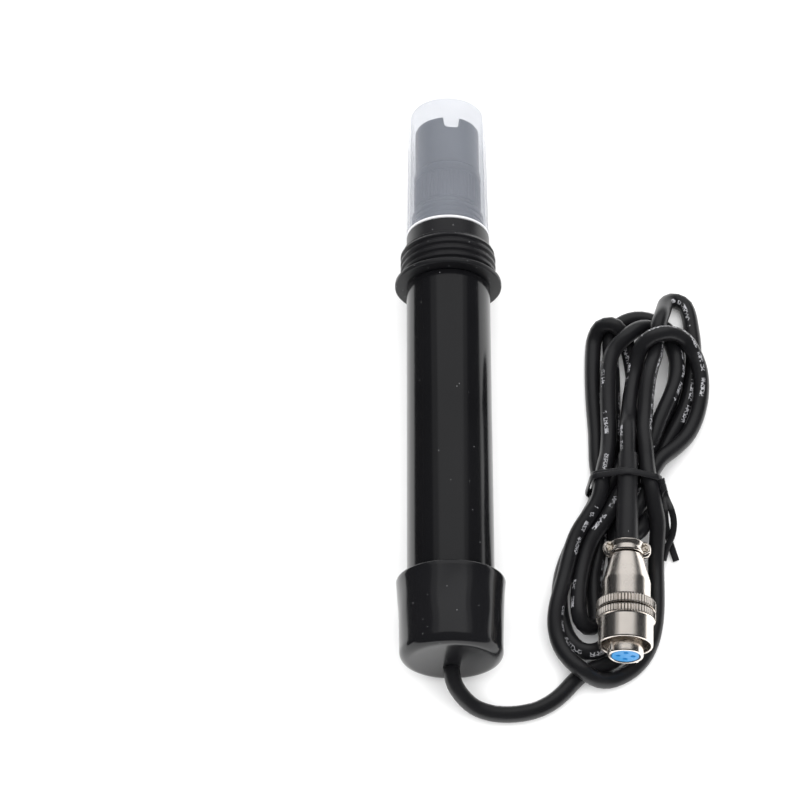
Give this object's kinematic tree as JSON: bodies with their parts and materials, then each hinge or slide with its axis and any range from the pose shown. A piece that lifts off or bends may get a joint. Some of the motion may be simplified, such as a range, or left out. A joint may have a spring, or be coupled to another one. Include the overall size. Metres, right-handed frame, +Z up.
{
  "type": "water quality probe",
  "caption": "Dissolved-oxygen probe: handle tube, threaded head, screw-on membrane sensor under a pull-off storage cap, and a tied lead with a round locking plug.",
  "frame": {"origin": "on the supporting surface, under the middle of the probe, which lies on the rim of its flange (lead, hank and plug left out)", "axes": "+Y along the probe towards its sensing end, +X towards the lead's hank, +Z up"},
  "size_m": [0.0812, 0.17, 0.0276],
  "materials": {
    "tube_plastic": "polished black moulded tube",
    "cap_vinyl": "glossy dipped black vinyl, slightly wavy",
    "head_plastic": "satin black moulding with fine dust",
    "storage_plastic": "frosted translucent natural plastic",
    "sensor_plastic": "satin charcoal moulding, knurled",
    "guard_plastic": "satin charcoal moulding",
    "cord_jacket": "satin black PVC jacket with small pale tick marks",
    "sleeve_plastic": "matt black shrunk tubing",
    "tie_plastic": "satin black strip over a wire core",
    "plug_nickel": "bright nickel plate over turned brass",
    "screw_steel": "bright steel",
    "insert_blue": "sky-blue moulded insulator",
    "contact_gold": "gold-flashed contact metal",
    "electrode_silver": "silver",
    "seal_rubber": "black nitrile",
    "membrane_film": "thin clear film",
    "board_green": "solder-masked board",
    "chip_black": "moulded package",
    "potting_resin": "cast black resin",
    "wire_white": "insulation",
    "wire_red": "insulation",
    "wire_black": "insulation",
    "wire_yellow": "insulation and tantalum case"
  },
  "bodies": {
    "probe": {"probe_tube": "tube_plastic", "end_cap": "cap_vinyl", "head_body": "head_plastic", "electrode_stem": "sensor_plastic", "cathode_disc": "contact_gold", "anode_ring": "electrode_silver", "thermistor": "chip_black", "signal_board": "board_green", "wire_header": "wire_white", "amplifier_chip": "chip_black", "reference_capacitor": "wire_yellow", "core_wire_1": "wire_red", "core_wire_2": "wire_black", "core_wire_3": "wire_white", "core_wire_4": "wire_yellow", "cathode_wire": "wire_white", "anode_wire": "wire_red", "thermistor_wire": "wire_black", "cord_inner_end": "cord_jacket", "cord_stop": "sleeve_plastic", "potting_plug": "potting_resin", "cord_lead": "cord_jacket", "cord_hank": "cord_jacket", "cord_outer_end": "cord_jacket", "heat_shrink_sleeve": "sleeve_plastic", "twist_tie": "tie_plastic", "backshell": "plug_nickel", "clamp_saddle": "plug_nickel", "clamp_screw_1": "screw_steel", "clamp_screw_2": "screw_steel", "connector_body": "plug_nickel", "contact_insert": "insert_blue", "contact_socket_1": "contact_gold", "contact_socket_2": "contact_gold", "contact_socket_3": "contact_gold", "contact_socket_4": "contact_gold"},
    "storage_cap": {"storage_cap": "storage_plastic"},
    "membrane_seal": {"membrane_o_ring": "seal_rubber"},
    "membrane_cap": {"membrane_cap": "sensor_plastic", "membrane_disc": "membrane_film", "membrane_ring": "guard_plastic", "guard_cage": "guard_plastic"},
    "coupling_ring": {"coupling_ring": "plug_nickel"}
  },
  "joints": [
    {"name": "storage_cap_pull", "type": "slide", "parent": "probe", "child": "storage_cap", "axis": [0, 1, 0], "range_m": [0, 0.045]},
    {"name": "membrane_cap_lift", "type": "slide", "parent": "probe", "child": "membrane_seal", "axis": [0, 1, 0], "range_m": [0, 0.004]},
    {"name": "membrane_cap_turn", "type": "hinge", "parent": "membrane_seal", "child": "membrane_cap", "pos_m": [0, 0.055, 0.0138], "axis": [0, 1, 0], "range_deg": [0, 1440]},
    {"name": "coupling_ring_turn", "type": "hinge", "parent": "probe", "child": "coupling_ring", "pos_m": [0.04385, -0.0469, 0.0115], "axis": [-0.0471, -0.9989, 0], "continuous": true}
  ],
  "couplings": [
    {"joint": "membrane_cap_lift", "follows": "membrane_cap_turn", "m_per_rad": 0.00015915}
  ]
}
